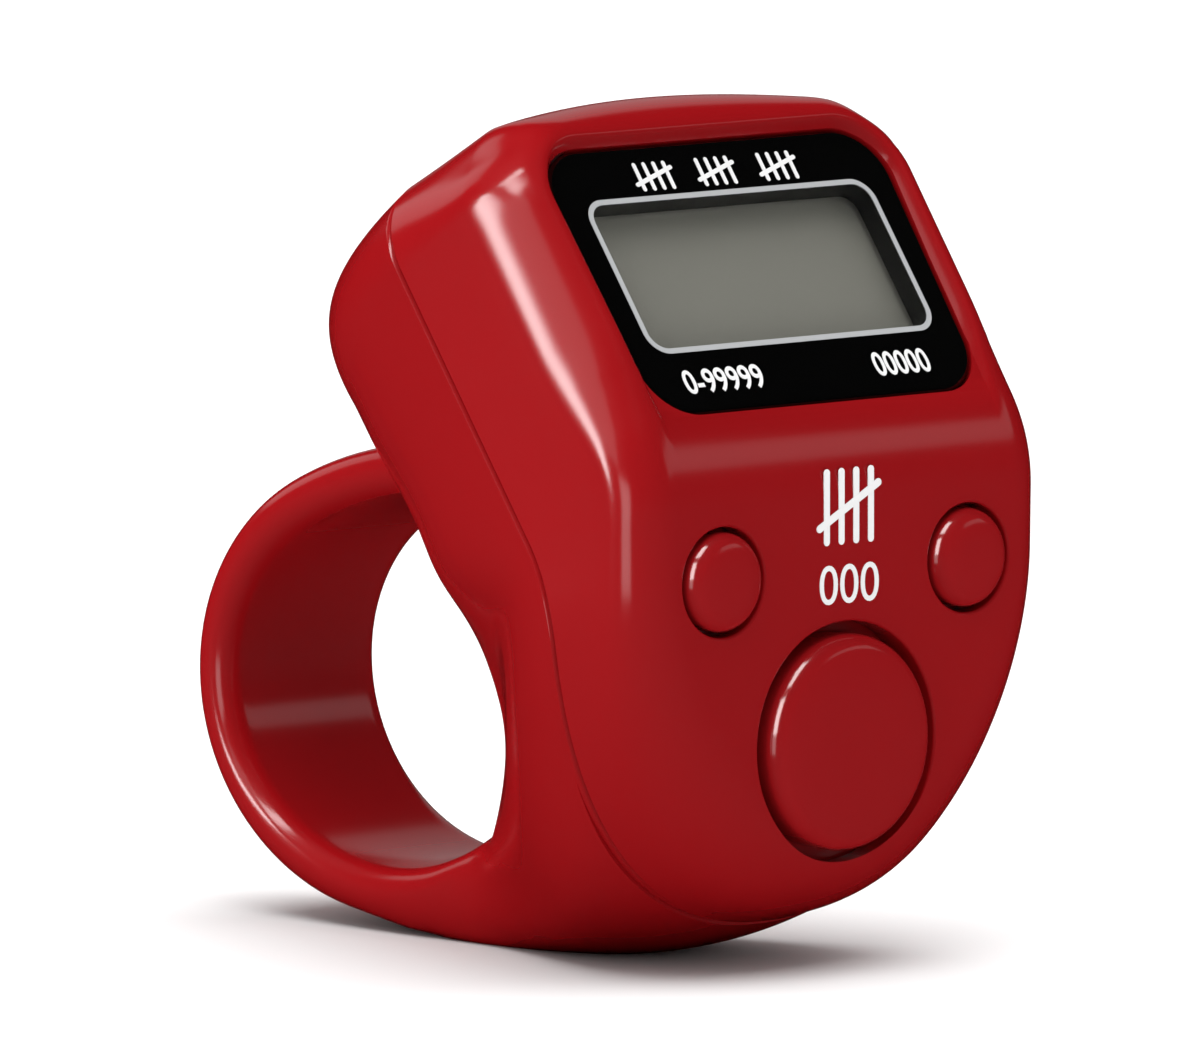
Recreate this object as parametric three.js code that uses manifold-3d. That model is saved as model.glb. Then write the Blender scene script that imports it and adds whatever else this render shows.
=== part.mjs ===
// A finger ring tally counter: a two-facet front shell with a display window and three buttons,
// a rear shell with a finger ring, and the electronics between them. Millimetres, +Z up.
//
// The design frame has its origin where the two front facets would meet at the middle.
// The front faces -Y. The exported group moves it so that the part stands on Z = 0.
import * as THREE from "three";
import { mergeVertices } from "three/addons/utils/BufferGeometryUtils.js";
import Module from "manifold-3d";

const wasm = await Module();
wasm.setup();

// Case, driving sizes
const tilt = THREE.MathUtils.degToRad(36);
const sinTilt = Math.sin(tilt);
const cosTilt = Math.cos(tilt);
const halfWidth = 14.85;
const topUp = 23.1;
const topArcRadius = 60;
const cornerRadius = 5.2;
const bottomStart = -5;
const bottomDrop = 19.65;
const bottomPower = 2.25;
const frontBend = 2.6;
const partingY = 6;
const partingZ = -6.8;
const partingBend = 2.9;
const draft = 0.45;
const cornerDraft = 0.6;
const buttonFaceRounding = 2.6;
const footRounding = 5.2;
const wall = 1.5;
const floorZ = -27;
const gap = 0.3;

// Display window, measured up the upper facet from the bend
const windowLow = 2.6;
const windowHigh = 18.425;
const windowHalfTop = 11.83;
const windowHalfLow = 11.5;
const windowCorner = 3;
const windowThick = 1.2;
const beadHeight = 0.6;
const beadWide = 0.55;
const windowRounding = 3.3;
const viewLow = 4.8;
const viewHigh = 16.6;
const viewHalf = 10.9;

// Buttons on the lower facet
const countButton = { x: 0, z: -15, radius: 5.5, hole: 6, proud: 1 };
const modeButton = { x: -8.53, z: -6.26, radius: 2.53, hole: 2.8, proud: 0.7 };
const resetButton = { ...modeButton, x: 8.53 };
const flangeThick = 0.8;
const flangeWide = 0.5;
const stemReach = 3.2;
const buttonRounding = 0.8;

// Rear shell and finger ring
const backDeep = 20.5;
const ringY = 29.36;
const ringZ = -14.4;
const ringHalfY = 12.9;
const ringHalfZ = 10.57;
const ringTopY = 23;
const ringTopZ = -2.6;
const soleY = 32;
const bandHalfWidth = 5.6;
const bandHalfThick = 1.3;

// Room inside the rear shell: its back wall, the wall in front of the finger and its floor
const backWall = 1.6;
const seatWallY = 17.6;
const seatWallTop = -7;
const roomFloorZ = -22.4;

// Display stack, deep behind the upper facet
const lcdDeep = 1.6;
const lcdThick = 1.4;
const lcdHalf = 10.6;
const lcdLow = 5.1;
const lcdHigh = 16.3;
const reflectorThick = 0.3;
const frameDeep = 3.4;
const frameThick = 2.2;
const stripLow = 5.2;
const stripHigh = 6.6;

// Boards and keypad
const boardThick = 1;
const upperBoardDeep = 6;
const lowerBoardY = 5.3;
const lowerBoardInset = 3.4;
const lowerBoardTop = -5;
const upperBoardHalf = 10.8;
const upperBoardLow = 1.4;
const upperBoardHigh = 16.4;
const chipX = -5.5;
const chipUp = 4.6;
const capacitorX = 3;
const capacitorZ = -18.4;
const capacitorLong = 3;
const capacitorWide = 1.8;
const capacitorTall = 1.2;
const crystalX = -4;
const crystalZ = -10;
const crystalRadius = 1;
const crystalHalf = 3;
const membraneThick = 0.4;
const membraneTop = -3.6;
const domeRise = 0.5;
const ribbonThick = 0.3;
const ribbonWidth = 5;

// Cell, contacts and screws
const cellRadius = 5.8;
const cellThick = 5.4;
const cellUp = 9.5;
const cellDeep = 12.4;
const leafThick = 0.35;
const leafHalf = 2.5;
const screwX = 8.2;
const screwUp = 18.3;
const screwHeadDeep = 16.2;
const screwHeadThick = 1.2;
const screwTipDeep = 5;
const screwRadius = 0.9;
const screwHeadRadius = 1.7;
const screwSlotHalf = 1.2;
const screwSlotWide = 0.44;
const screwSlotDeep = 0.5;
const frontBossRadius = 1.9;
const rearBossRadius = 2.6;
const frontBossEnd = 8.4;
const rearBossStart = 9.15;

const roundSteps = 32;
// Longer than any part of the case, for cutting tools
const beyond = 40;

// Finish of each piece
const finish = (color, roughness, metalness = 0) =>
  new THREE.MeshStandardMaterial({ color, roughness, metalness });
const redPlastic = finish(0xa8141b, 0.22);
const blackGloss = finish(0x060606, 0.08);
const displayGrey = finish(0x7d7d73, 0.25);
const whitePlastic = finish(0xe6e4dc, 0.5);
const rubberGrey = finish(0x8f9296, 0.8);
const boardGreen = finish(0x1d5a34, 0.45);
const epoxyBlack = finish(0x111111, 0.35);
const steel = finish(0xb9bcc0, 0.3, 1);
const ribbonAmber = finish(0xb5772a, 0.4);

const mix = THREE.MathUtils.lerp;
const smooth = THREE.MathUtils.smoothstep;

// A closed geometry as a solid that can be joined and cut
function solidOf(geometry) {
  const plain = geometry.index ? geometry.toNonIndexed() : geometry.clone();
  plain.deleteAttribute("normal");
  plain.deleteAttribute("uv");
  const merged = mergeVertices(plain, 1e-4);
  const vertProperties = merged.attributes.position.array;
  const triVerts = new Uint32Array(merged.index.array);
  return new wasm.Manifold(new wasm.Mesh({ numProp: 3, vertProperties, triVerts }));
}

function geometryOf(solid) {
  const mesh = solid.getMesh();
  const points = new Float32Array(mesh.numVert * 3);
  for (let i = 0; i < mesh.numVert; i++) {
    points.set(mesh.vertProperties.subarray(i * mesh.numProp, i * mesh.numProp + 3), i * 3);
  }
  const geometry = new THREE.BufferGeometry();
  geometry.setAttribute("position", new THREE.BufferAttribute(points, 3));
  geometry.setIndex(new THREE.BufferAttribute(mesh.triVerts, 1));
  return geometry;
}

// A line that runs straight down below its corner and tilts back above it, with a round bend.
// along is the distance up the line from the corner. Gives [y, z].
function bentLine(cornerY, cornerZ, tangent, along) {
  if (along <= -tangent) return [cornerY, cornerZ + along];
  if (along >= tangent) return [cornerY + along * sinTilt, cornerZ + along * cosTilt];
  const radius = tangent / Math.tan(tilt / 2);
  const turned = (tilt * (along + tangent)) / (2 * tangent);
  return [
    cornerY + radius * (1 - Math.cos(turned)),
    cornerZ - tangent + radius * Math.sin(turned),
  ];
}

// The front face and the parting line share the same distance up the front
const partingCornerUp = partingY * sinTilt + partingZ * cosTilt;
function partingAlong(up) {
  const shift = mix(-partingZ, -partingCornerUp, smooth(up, -12, 6));
  return up + shift;
}
const frontPoint = (up) => bentLine(0, 0, frontBend, up);
const partingPoint = (up) => bentLine(partingY, partingZ, partingBend, partingAlong(up));

// A point at x and up on the front, and deep behind the front face
function caseDepth(up) {
  const [fy, fz] = frontPoint(up);
  const [py, pz] = partingPoint(up);
  return Math.hypot(py - fy, pz - fz);
}
function casePoint(x, up, deep) {
  const [fy, fz] = frontPoint(up);
  const [py, pz] = partingPoint(up);
  const share = deep / caseDepth(up);
  return new THREE.Vector3(x, mix(fy, py, share), mix(fz, pz, share));
}

// A point in the upper facet's own frame: across, up the facet, deep behind it
const facetPoint = (x, up, deep) =>
  new THREE.Vector3(x, up * sinTilt + deep * cosTilt, up * cosTilt - deep * sinTilt);

// Right half of the parting outline, from the top middle to the bottom middle, with its
// outward normal and its share of the whole length
function halfOutline(topSteps, cornerSteps, sideSteps, bottomSteps) {
  const cornerX = halfWidth - cornerRadius;
  const topTurn = Math.asin(cornerX / (topArcRadius - cornerRadius));
  const cornerUp = topUp - topArcRadius + (topArcRadius - cornerRadius) * Math.cos(topTurn);
  const points = [];
  const arcPoint = (centreX, centreUp, radius, turn) =>
    points.push({
      x: centreX + radius * Math.sin(turn),
      up: centreUp + radius * Math.cos(turn),
      outX: Math.sin(turn),
      outUp: Math.cos(turn),
    });
  for (let i = 0; i < topSteps; i++) {
    arcPoint(0, topUp - topArcRadius, topArcRadius, (topTurn * i) / topSteps);
  }
  for (let i = 0; i < cornerSteps; i++) {
    arcPoint(cornerX, cornerUp, cornerRadius, mix(topTurn, Math.PI / 2, i / cornerSteps));
  }
  for (let i = 0; i < sideSteps; i++) {
    points.push({
      x: halfWidth,
      up: mix(cornerUp, bottomStart, i / sideSteps),
      outX: 1,
      outUp: 0,
    });
  }
  for (let i = 0; i <= bottomSteps; i++) {
    const turn = (Math.PI / 2) * (i / bottomSteps);
    const shareX = Math.max(Math.cos(turn), 0) ** (2 / bottomPower);
    const shareUp = Math.sin(turn) ** (2 / bottomPower);
    const normal = new THREE.Vector2(
      shareX ** (bottomPower - 1) / halfWidth,
      -(shareUp ** (bottomPower - 1)) / bottomDrop,
    ).normalize();
    points.push({
      x: halfWidth * shareX,
      up: bottomStart - bottomDrop * shareUp,
      outX: normal.x,
      outUp: normal.y,
    });
  }
  points[points.length - 1].x = 0;
  let length = 0;
  points.forEach((point, i) => {
    if (i) length += Math.hypot(point.x - points[i - 1].x, point.up - points[i - 1].up);
    point.length = length;
  });
  points.forEach((point) => (point.share = point.length / length));
  return points;
}

// Signed distance to the window's outline, negative inside it
function windowDistance(x, up) {
  const middle = (windowLow + windowHigh) / 2;
  const half = mix(windowHalfLow, windowHalfTop, (up - windowLow) / (windowHigh - windowLow));
  const besideX = Math.abs(x) - (half - windowCorner);
  const besideUp = Math.abs(up - middle) - ((windowHigh - windowLow) / 2 - windowCorner);
  const outside = Math.hypot(Math.max(besideX, 0), Math.max(besideUp, 0));
  return outside + Math.min(Math.max(besideX, besideUp), 0) - windowCorner;
}

// How far in from the parting outline the window's edge lies at an outline point
function windowInset(point) {
  let near = 0;
  let far = halfWidth;
  if (point.up < windowLow + windowCorner) return point.x - windowHalfLow;
  for (let i = 0; i < 30; i++) {
    const tried = (near + far) / 2;
    const distance = windowDistance(point.x - tried * point.outX, point.up - tried * point.outUp);
    if (distance > 0) near = tried;
    else far = tried;
  }
  return near;
}

// Edge rounding and window bead at an outline point: how far in the rounding starts, how deep
// and at what draft, how far in the crest lies, how high the bead stands, where the flat face
// begins, and how long the rounding holds to the side and to the face
function edgeShape(point) {
  const low = smooth(-point.up, 6, 22);
  const bead = smooth(point.up, 0, 8);
  const radius = mix(buttonFaceRounding, footRounding, low);
  const depth = mix(radius, windowRounding, bead);
  const flat = mix(draft + radius + beadWide, windowInset(point), bead);
  const crest = mix(draft + radius, windowInset(point) - beadWide, bead);
  const start = draft + cornerDraft * (2 * point.outX * Math.max(point.outUp, 0)) ** 2;
  const slope = (bead * start) / (caseDepth(point.up) - depth);
  const sideHold = mix(0.55, 0.3, bead);
  const faceHold = mix(0.55, 0.5, bead);
  return { start, slope, crest, flat, depth, height: beadHeight * bead, sideHold, faceHold };
}

// Inset and depth at a share of the edge rounding, which leaves the side at its draft and
// arrives along the face
function roundingPoint(edge, share) {
  const hold = edge.sideHold * (edge.depth + edge.height);
  const curve = new THREE.CubicBezierCurve(
    new THREE.Vector2(edge.start, edge.depth),
    new THREE.Vector2(edge.start + edge.slope * hold, edge.depth - hold),
    new THREE.Vector2(mix(edge.crest, edge.start, edge.faceHold), -edge.height),
    new THREE.Vector2(edge.crest, -edge.height),
  );
  return curve.getPoint(share).toArray();
}

// Closed rings of points from a rule that places a half outline point at a step
function mirrored(half) {
  const left = half.slice(1, -1).reverse();
  return [...half, ...left.map((p) => new THREE.Vector3(-p.x, p.y, p.z))];
}

// A body through rings that are mirror images across X = 0, closed at both ends by straight
// strips from side to side
function loft(rings) {
  const count = rings[0].length;
  const points = rings.flat();
  const faces = [];
  rings.slice(1).forEach((_, r) => {
    for (let i = 0; i < count; i++) {
      const a = r * count + i;
      const b = r * count + ((i + 1) % count);
      faces.push(a, b, b + count, a, b + count, a + count);
    }
  });
  const strip = (base, flip) => {
    const face = (a, b, c) => (flip ? faces.push(c, b, a) : faces.push(a, b, c));
    for (let i = 0; i < count / 2; i++) {
      const left = (count - i) % count;
      const nextLeft = count - i - 1;
      if (i + 1 !== nextLeft) face(base + i + 1, base + i, base + nextLeft);
      if (i !== left) face(base + nextLeft, base + i, base + left);
    }
  };
  strip(0, false);
  strip((rings.length - 1) * count, true);
  const position = new Float32Array(points.flatMap((p) => [p.x, p.y, p.z]));
  const geometry = new THREE.BufferGeometry();
  geometry.setAttribute("position", new THREE.BufferAttribute(position, 3));
  geometry.setIndex(faces);
  const solid = solidOf(geometry);
  if (solid.volume() > 0) return solid;
  geometry.setIndex(faces.reverse());
  return solidOf(geometry);
}

// Front shell's outer body, from the parting line over the rounded edge to the face
function frontBody(outline) {
  const roundingSteps = 6;
  const beadSteps = 3;
  const ring = (place) =>
    mirrored(
      outline.map((point) => {
        const [inset, deep] = place(point, edgeShape(point));
        return casePoint(point.x - inset * point.outX, point.up - inset * point.outUp, deep);
      }),
    );
  const rings = [
    ring((point) => [0, caseDepth(point.up)]),
    ring((point, edge) => [edge.start / 2, mix(caseDepth(point.up), edge.depth, 0.5)]),
  ];
  for (let i = 0; i <= roundingSteps; i++) {
    rings.push(ring((point, edge) => roundingPoint(edge, i / roundingSteps)));
  }
  for (let i = 1; i <= beadSteps; i++) {
    const share = i / beadSteps;
    rings.push(
      ring((point, edge) => [
        mix(edge.crest, edge.flat, share),
        -edge.height * Math.cos((Math.PI / 2) * share),
      ]),
    );
  }
  return loft(rings);
}

// Room inside the front shell
function frontRoom(outline) {
  const place = (point, inset, deep) =>
    casePoint(point.x - inset * point.outX, point.up - inset * point.outUp, deep);
  const faceDeep = (point) => mix(wall, 2.7, smooth(point.up, -2, 2));
  const rows = [
    (point) => place(point, wall, caseDepth(point.up) + 1),
    (point) => place(point, wall + 0.4, Math.min(edgeShape(point).depth + 1, caseDepth(point.up) - 1)),
    (point) => place(point, edgeShape(point).crest, faceDeep(point)),
  ];
  return loft(rows.map((row) => mirrored(outline.map(row))));
}

// Rear edge of the rear shell's sides, right half, from the top middle down the back face and
// the finger seat to the underside where the ring begins
const rearEdgePoints = [
  facetPoint(0, 20.4, backDeep),
  facetPoint(5.8, 20.2, backDeep),
  facetPoint(7.6, 18.6, backDeep),
  facetPoint(8, 12.8, backDeep),
  facetPoint(7.8, 8.4, backDeep),
  new THREE.Vector3(8, 20.5, -8.2),
  new THREE.Vector3(6.9, 19.45, -12.2),
  new THREE.Vector3(6, 19.1, -16.4),
  new THREE.Vector3(bandHalfWidth, 20.4, -20.8),
  new THREE.Vector3(bandHalfWidth - 0.9, 25, -26.7),
  new THREE.Vector3(0, 28, -27.1),
];
const rearEdge = new THREE.CatmullRomCurve3(mirrored(rearEdgePoints), true);

// Rear shell's outer body: each outline point runs back along a curve to the rear edge.
// inset draws both ends in, for the room inside
function rearBody(outline, steps, inset, startShare) {
  const curves = outline.map((point) => {
    const x = point.x - inset * point.outX;
    const up = point.up - inset * point.outUp;
    const start = casePoint(x, up, caseDepth(up));
    const end = rearEdge.getPoint(point.share / 2);
    if (point.x === 0) end.x = 0;
    const under = smooth(-point.up, 13, 24.65);
    const steep = tilt * smooth(point.up, -9, 5) + 0.44 * under + 0.55 * Math.sin(Math.PI * under);
    const narrow = 0.15 * Math.abs(point.outX) * (1 - Math.max(point.outUp, 0));
    const back = new THREE.Vector3(-narrow * Math.sign(point.x), Math.cos(steep), -Math.sin(steep));
    const reach = start.distanceTo(end);
    const round = smooth(point.up, -6, 14);
    const over = new THREE.Vector3(-point.outX, -sinTilt * point.outUp, -cosTilt * point.outUp);
    const straight = end.clone().sub(start).normalize();
    const arrive = straight
      .lerp(over, round)
      .lerp(new THREE.Vector3(0, 1, 0), smooth(-point.up, 16, 24))
      .normalize();
    const leave = start.clone().addScaledVector(back, reach * mix(0.4, 0.85, round));
    const near = end.clone().addScaledVector(arrive, -mix(reach * 0.35, 1.7, round));
    return new THREE.CubicBezierCurve3(start, leave, near, end);
  });
  const rings = [];
  for (let i = 0; i <= steps; i++) {
    const share = mix(startShare, 1, i / steps);
    rings.push(mirrored(curves.map((curve) => curve.getPoint(share))));
  }
  return loft(rings);
}

// A plain extruded outline in the facet's frame: points are [across, up]
function prism(points, from, to) {
  const shape = new THREE.Shape(points.map(([x, y]) => new THREE.Vector2(x, y)));
  return new THREE.ExtrudeGeometry(shape, { depth: to - from, bevelEnabled: false })
    .translate(0, 0, from);
}

// Shapes made across, up and deep are turned into a facet: x stays, y goes up, z goes deep
const deepBasis = (upY, upZ, deepY, deepZ) =>
  new THREE.Matrix4().makeBasis(
    new THREE.Vector3(1, 0, 0),
    new THREE.Vector3(0, upY, upZ),
    new THREE.Vector3(0, deepY, deepZ),
  );
const onUpper = deepBasis(sinTilt, cosTilt, cosTilt, -sinTilt);
const onLower = deepBasis(0, 1, 1, 0);

// The basis mirrors the shape, so its faces are turned round again
function placed(geometry, basis) {
  const moved = geometry.clone().applyMatrix4(basis);
  if (basis.determinant() > 0) return solidOf(moved);
  const flat = moved.index ? moved.toNonIndexed() : moved;
  const position = flat.attributes.position.array;
  const turned = new Float32Array(position.length);
  for (let i = 0; i < position.length; i += 9) {
    turned.set(position.subarray(i, i + 3), i);
    turned.set(position.subarray(i + 6, i + 9), i + 3);
    turned.set(position.subarray(i + 3, i + 6), i + 6);
  }
  const geometryTurned = new THREE.BufferGeometry();
  geometryTurned.setAttribute("position", new THREE.BufferAttribute(turned, 3));
  return solidOf(geometryTurned);
}

const box = (left, right, low, high, from, to) =>
  new THREE.BoxGeometry(right - left, high - low, to - from).translate(
    (left + right) / 2,
    (low + high) / 2,
    (from + to) / 2,
  );
const rod = (x, up, radius, from, to, steps = roundSteps) =>
  new THREE.CylinderGeometry(radius, radius, to - from, steps)
    .rotateX(Math.PI / 2)
    .translate(x, up, (from + to) / 2);

// Window outline with round corners, grown by a margin
function windowOutline(grow) {
  const corner = (x, up, from) => {
    const radius = windowCorner + grow;
    const signX = Math.sign(x);
    return Array.from({ length: 7 }, (_, i) => {
      const turn = from + ((Math.PI / 2) * i) / 6;
      const centreX = x - signX * windowCorner;
      return [centreX + radius * Math.cos(turn), up + radius * Math.sin(turn)];
    });
  };
  const low = windowLow + windowCorner;
  const high = windowHigh - windowCorner;
  return [
    ...corner(windowHalfTop, high, 0),
    ...corner(-windowHalfTop, high, Math.PI / 2),
    ...corner(-windowHalfLow, low, Math.PI),
    ...corner(windowHalfLow, low, 1.5 * Math.PI),
  ];
}

// Lower board and membrane outline: the case outline drawn in, cut off square at the top
function lowerOutline(inset, top) {
  const right = halfOutline(2, 4, 4, 10)
    .filter((point) => point.up < bottomStart + 0.01)
    .map((point) => [point.x - inset * point.outX, point.up - inset * point.outUp]);
  const left = right.slice(0, -1).reverse().map(([x, up]) => [-x, up]);
  const width = right[0][0];
  return [[width, top], ...right, ...left, [-width, top]];
}

const pieces = [];
const add = (name, solid, material) => pieces.push({ name, solid, material });

function frontCase() {
  const outline = halfOutline(3, 9, 5, 12);
  let shell = frontBody(outline).subtract(frontRoom(halfOutline(3, 5, 3, 8)));
  for (const side of [-1, 1]) {
    const x = side * screwX;
    const boss = placed(rod(x, screwUp, frontBossRadius, wall + 1, frontBossEnd, 20), onUpper);
    const pilot = rod(x, screwUp, screwRadius + gap, screwTipDeep - gap, frontBossEnd + 1, 20);
    shell = shell.add(boss.intersect(frontBody(outline)));
    shell = shell.subtract(placed(pilot, onUpper));
  }
  const recess = prism(windowOutline(0), -2, windowThick + gap);
  const view = box(-viewHalf, viewHalf, viewLow, viewHigh, 1, lcdDeep + lcdThick);
  shell = shell.subtract(placed(recess, onUpper)).subtract(placed(view, onUpper));
  for (const { x, z, hole } of [countButton, modeButton, resetButton]) {
    const well = rod(x, z, hole, -2, 3, 40);
    const pocket = rod(x, z, hole + flangeWide + gap, wall, 4, 40);
    shell = shell.subtract(placed(well, onLower)).subtract(placed(pocket, onLower));
  }
  add("front_case", shell, redPlastic);
}

// The finger ring's middle line in the YZ plane: an oval from under the case round the back,
// then a gentler curve forward into the case's back face
function ringLine() {
  const from = THREE.MathUtils.degToRad(-135);
  const to = THREE.MathUtils.degToRad(60);
  const oval = (turn) =>
    new THREE.Vector3(0, ringY + ringHalfY * Math.cos(turn), ringZ + ringHalfZ * Math.sin(turn));
  const line = [];
  const ovalSteps = 30;
  for (let i = 0; i <= ovalSteps; i++) line.push(oval(mix(from, to, i / ovalSteps)));
  const slope = ringHalfZ * Math.cos(to) / (ringHalfY * Math.sin(to));
  const last = line[ovalSteps];
  const bendY = last.y - (ringTopZ - last.z) / slope;
  const top = new THREE.QuadraticBezierCurve3(
    last,
    new THREE.Vector3(0, bendY, ringTopZ),
    new THREE.Vector3(0, ringTopY, ringTopZ),
  );
  return [...line, ...top.getPoints(8).slice(1)];
}

// The band is as wide as a finger's bone, with full round lips. It thickens outward where it
// runs under the case
function ringBand() {
  const lipSteps = 6;
  const line = ringLine();
  const rings = line.map((centre, i) => {
    const before = line[Math.max(i - 1, 0)];
    const after = line[Math.min(i + 1, line.length - 1)];
    const along = after.clone().sub(before).normalize();
    const out = new THREE.Vector3(0, along.z, -along.y);
    const under = centre.z < ringZ ? Math.max(soleY - centre.y, 0) : 0;
    const outThick = bandHalfThick + 0.034 * under ** 2;
    const half = [];
    for (let j = 0; j <= lipSteps; j++) {
      const lip = (Math.PI * j) / lipSteps;
      const x = bandHalfWidth - bandHalfThick + bandHalfThick * Math.sin(lip);
      const thick = (lip < Math.PI / 2 ? outThick : bandHalfThick) * Math.cos(lip);
      half.push(centre.clone().addScaledVector(out, thick).setX(x));
    }
    const middleOut = half[0].clone().setX(0);
    const middleIn = half[lipSteps].clone().setX(0);
    return mirrored([middleOut, ...half, middleIn]);
  });
  return loft(rings);
}

function rearCase() {
  const outline = halfOutline(3, 6, 5, 12);
  const body = rearBody(outline, 9, 0, 0);
  let shell = body.add(ringBand());
  const room = rearBody(halfOutline(3, 5, 3, 8), 3, wall, -0.06);
  const block = (low, high, to, basis) =>
    placed(box(-beyond, beyond, low, high, -beyond, to), basis);
  const roomBack = block(-beyond, beyond, backDeep - backWall, onUpper);
  const roomSeat = block(-beyond, beyond, seatWallY, onLower)
    .add(block(seatWallTop, beyond, beyond, onLower));
  const roomFloor = block(roomFloorZ, beyond, beyond, onLower);
  shell = shell.subtract(room.intersect(roomBack).intersect(roomSeat).intersect(roomFloor));
  for (const side of [-1, 1]) {
    const bore = (radius, from, to) =>
      placed(rod(side * screwX, screwUp, radius, from, to, 20), onUpper);
    const boss = bore(rearBossRadius, rearBossStart, screwHeadDeep + 1);
    shell = shell.add(boss.intersect(body));
    shell = shell.subtract(bore(screwRadius + gap, frontBossEnd, beyond));
    shell = shell.subtract(bore(screwHeadRadius + gap, screwHeadDeep, beyond));
  }
  shell = shell.subtract(block(-beyond, floorZ, 2 * beyond, onLower));
  add("rear_case", shell, redPlastic);
}

function displayStack() {
  const plate = (half, low, high, from, to) =>
    placed(box(-half, half, low, high, from, to), onUpper);
  const lcdBack = lcdDeep + lcdThick;
  const frameEnd = frameDeep + frameThick;
  const reflectorHalf = lcdHalf - 0.8;
  const reflectorLow = stripHigh + 1;
  const reflectorHigh = lcdHigh - 0.9;
  add("display_window", placed(prism(windowOutline(-0.15), 0, windowThick), onUpper), blackGloss);
  add("lcd_glass", plate(lcdHalf, lcdLow, lcdHigh, lcdDeep, lcdBack), displayGrey);
  const reflector = plate(
    reflectorHalf, reflectorLow, reflectorHigh, lcdBack + gap, lcdBack + gap + reflectorThick,
  );
  add("lcd_reflector", reflector, whitePlastic);
  const roomBehindDisplay = plate(
    reflectorHalf + 0.4, reflectorLow - 0.4, reflectorHigh + 0.4, frameDeep - 1, frameEnd + 1,
  );
  const roomForStrip = plate(
    reflectorHalf + 0.4, stripLow - gap, stripHigh + gap, frameDeep - 1, frameEnd + 1,
  );
  const frame = plate(lcdHalf + 1, lcdLow - 0.9, lcdHigh + 0.1, frameDeep, frameEnd)
    .subtract(roomBehindDisplay)
    .subtract(roomForStrip);
  add("display_frame", frame, whitePlastic);
  const strip = plate(reflectorHalf, stripLow, stripHigh, lcdBack + gap, upperBoardDeep - gap);
  add("zebra_strip", strip, rubberGrey);
}

function boards() {
  const upperBoardEnd = upperBoardDeep + boardThick;
  const lowerBoardEnd = lowerBoardY + boardThick;
  const upper = box(
    -upperBoardHalf, upperBoardHalf, upperBoardLow, upperBoardHigh, upperBoardDeep, upperBoardEnd,
  );
  add("display_board", placed(upper, onUpper), boardGreen);
  const chipProfile = [[0, 0], [3, 0], [2.8, 0.45], [1.8, 0.85], [0, 1]];
  const chip = new THREE.LatheGeometry(chipProfile.map(([r, z]) => new THREE.Vector2(r, z)), 20)
    .rotateX(Math.PI / 2)
    .translate(chipX, chipUp, upperBoardEnd + gap);
  add("counter_chip", placed(chip, onUpper), epoxyBlack);
  const lower = prism(lowerOutline(lowerBoardInset, lowerBoardTop), lowerBoardY, lowerBoardEnd);
  add("key_board", placed(lower, onLower), boardGreen);
  const capacitor = box(
    capacitorX, capacitorX + capacitorLong, capacitorZ, capacitorZ + capacitorWide,
    lowerBoardEnd + gap, lowerBoardEnd + gap + capacitorTall,
  );
  add("capacitor", placed(capacitor, onLower), epoxyBlack);
  const crystal = rod(0, 0, crystalRadius, -crystalHalf, crystalHalf, 16)
    .rotateY(Math.PI / 2)
    .translate(crystalX, crystalZ, lowerBoardEnd + gap + crystalRadius);
  add("crystal_can", placed(crystal, onLower), steel);
}

// A flat flex strip behind both boards, drawn as its side view and pushed out across X
function ribbon() {
  const path = [
    facetPoint(0, 3.4, 7.4),
    facetPoint(0, 1.8, 7.5),
    new THREE.Vector3(0, 6.9, -4.9),
    new THREE.Vector3(0, 6.6, -6.4),
    new THREE.Vector3(0, 6.6, -8),
  ];
  const curve = new THREE.CatmullRomCurve3(path);
  const near = curve.getPoints(10);
  const far = near.map((point, i) => {
    const along = curve.getTangent(i / 10).multiplyScalar(ribbonThick);
    return new THREE.Vector3(0, point.y - along.z, point.z + along.y);
  });
  const side = [...near, ...far.reverse()].map((point) => new THREE.Vector2(point.y, point.z));
  const strip = new THREE.ExtrudeGeometry(new THREE.Shape(side), {
    depth: ribbonWidth,
    bevelEnabled: false,
  });
  const across = new THREE.Matrix4().makeBasis(
    new THREE.Vector3(0, 1, 0),
    new THREE.Vector3(0, 0, 1),
    new THREE.Vector3(1, 0, 0),
  );
  add("flex_ribbon", placed(strip.translate(0, 0, 3), across), ribbonAmber);
}

function keypad() {
  const back = lowerBoardY - gap;
  const front = back - membraneThick;
  let membrane = placed(prism(lowerOutline(lowerBoardInset + 0.2, membraneTop), front, back), onLower);
  for (const { x, z, radius } of [countButton, modeButton, resetButton]) {
    const dome = rod(x, z, radius * 0.55, front - domeRise, back - membraneThick / 2, 24);
    membrane = membrane.add(placed(dome, onLower));
  }
  add("keypad_membrane", membrane, rubberGrey);
}

// A button is a cap with a rounded edge, a flange that keeps it in, and a stem
function buttonSolid({ x, z, radius, hole, proud }) {
  const edge = Math.min(buttonRounding, radius * 0.25);
  const flangeY = wall + gap;
  const stemRadius = radius * 0.4;
  const profile = [
    [0, -proud],
    [radius - edge, -proud],
    [radius - edge * 0.45, -proud + edge * 0.15],
    [radius - edge * 0.12, -proud + edge * 0.45],
    [radius, -proud + edge],
    [radius, flangeY],
    [hole + flangeWide, flangeY],
    [hole + flangeWide, flangeY + flangeThick],
    [stemRadius, flangeY + flangeThick],
    [stemRadius, stemReach],
    [0, stemReach],
  ];
  const turned = new THREE.LatheGeometry(
    profile.map(([r, y]) => new THREE.Vector2(r, y)),
    40,
  );
  return placed(turned.rotateX(Math.PI / 2).translate(x, z, 0), onLower);
}

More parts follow.
